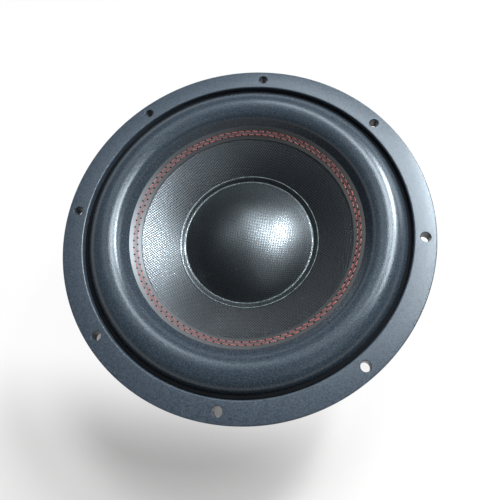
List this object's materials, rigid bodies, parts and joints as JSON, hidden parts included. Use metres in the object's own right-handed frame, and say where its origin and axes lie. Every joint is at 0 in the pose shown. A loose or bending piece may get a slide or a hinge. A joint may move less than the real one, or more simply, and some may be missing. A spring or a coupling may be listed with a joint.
{
  "type": "car subwoofer speaker",
  "caption": "Round car subwoofer driver with a bolted flange, half-roll surround, stitched woven cone, domed cap, vented double magnet and push terminals.",
  "frame": {"origin": "on the speaker's axis, in the plane of the magnet boot's underside, on which it lies", "axes": "+Z along the axis out of the cone's front; +X towards one terminal block, the flange holes at 22.5 degrees and every 45 degrees"},
  "size_m": [0.316, 0.316, 0.1611],
  "materials": {
    "frame_coat": "satin slate powder coat with a fine speckle",
    "surround_foam": "satin, finely grained",
    "cone_cloth": "glossy black woven glass cloth over paper",
    "cap_cloth": "satin black woven face",
    "thread": "red twisted thread",
    "spider_cloth": "resin-dipped cotton",
    "spacer_plastic": "moulded, matte",
    "yoke_steel": "black oxide",
    "ferrite": "ground ferrite",
    "boot_rubber": "moulded, matte",
    "copper": "bare copper",
    "former_metal": "black anodised foil",
    "winding_wire": "enamelled copper wire",
    "ring_aluminium": "turned",
    "screen_steel": "black, punched",
    "adhesive": "cured black glue",
    "terminal_plastic": "moulded, fine texture",
    "button_red": "moulded",
    "button_black": "moulded",
    "contact_brass": "gold flashed",
    "spring_steel": "bright",
    "screw_steel": "black zinc",
    "lead_braid": "tinned copper braid"
  },
  "bodies": {
    "frame_and_motor": {"basket_rim": "frame_coat", "basket_spokes": "frame_coat", "basket_cup": "frame_coat", "floor_screws": "screw_steel", "lower_magnet": "ferrite", "upper_magnet": "ferrite", "shorting_ring": "ring_aluminium", "top_plate": "yoke_steel", "yoke": "yoke_steel", "pole_cap": "copper", "vent_screen": "screen_steel", "magnet_boot": "boot_rubber", "surround": "surround_foam", "spider": "spider_cloth", "spider_ring": "spacer_plastic", "terminal_screws": "screw_steel", "right_terminal_base": "terminal_plastic", "right_terminal_shell": "terminal_plastic", "right_contacts": "contact_brass", "right_leads": "lead_braid", "right_red_spring": "spring_steel", "right_black_spring": "spring_steel", "left_terminal_base": "terminal_plastic", "left_terminal_shell": "terminal_plastic", "left_contacts": "contact_brass", "left_leads": "lead_braid", "left_red_spring": "spring_steel", "left_black_spring": "spring_steel"},
    "cone_assembly": {"cone": "cone_cloth", "neck_bead": "adhesive", "dust_cap": "cap_cloth", "band_stitching": "thread", "coil_former": "former_metal", "inner_winding": "winding_wire", "outer_winding": "winding_wire"},
    "right_red_button": {"right_red_button": "button_red"},
    "right_black_button": {"right_black_button": "button_black"},
    "left_red_button": {"left_red_button": "button_red"},
    "left_black_button": {"left_black_button": "button_black"}
  },
  "joints": [
    {"name": "cone_travel", "type": "slide", "parent": "frame_and_motor", "child": "cone_assembly", "axis": [0, 0, 1], "range_m": [-0.015, 0.015], "stiffness_N_per_m": 5000, "deforming": ["surround", "spider", "right_leads", "left_leads"]},
    {"name": "right_red_push", "type": "slide", "parent": "frame_and_motor", "child": "right_red_button", "axis": [-1, 0, 0], "range_m": [0, 0.003], "stiffness_N_per_m": 600, "springref_m": -0.002, "deforming": ["right_red_spring"]},
    {"name": "right_black_push", "type": "slide", "parent": "frame_and_motor", "child": "right_black_button", "axis": [-1, 0, 0], "range_m": [0, 0.003], "stiffness_N_per_m": 600, "springref_m": -0.002, "deforming": ["right_black_spring"]},
    {"name": "left_red_push", "type": "slide", "parent": "frame_and_motor", "child": "left_red_button", "axis": [1, 0, 0], "range_m": [0, 0.003], "stiffness_N_per_m": 600, "springref_m": -0.002, "deforming": ["left_red_spring"]},
    {"name": "left_black_push", "type": "slide", "parent": "frame_and_motor", "child": "left_black_button", "axis": [1, 0, 0], "range_m": [0, 0.003], "stiffness_N_per_m": 600, "springref_m": -0.002, "deforming": ["left_black_spring"]}
  ]
}
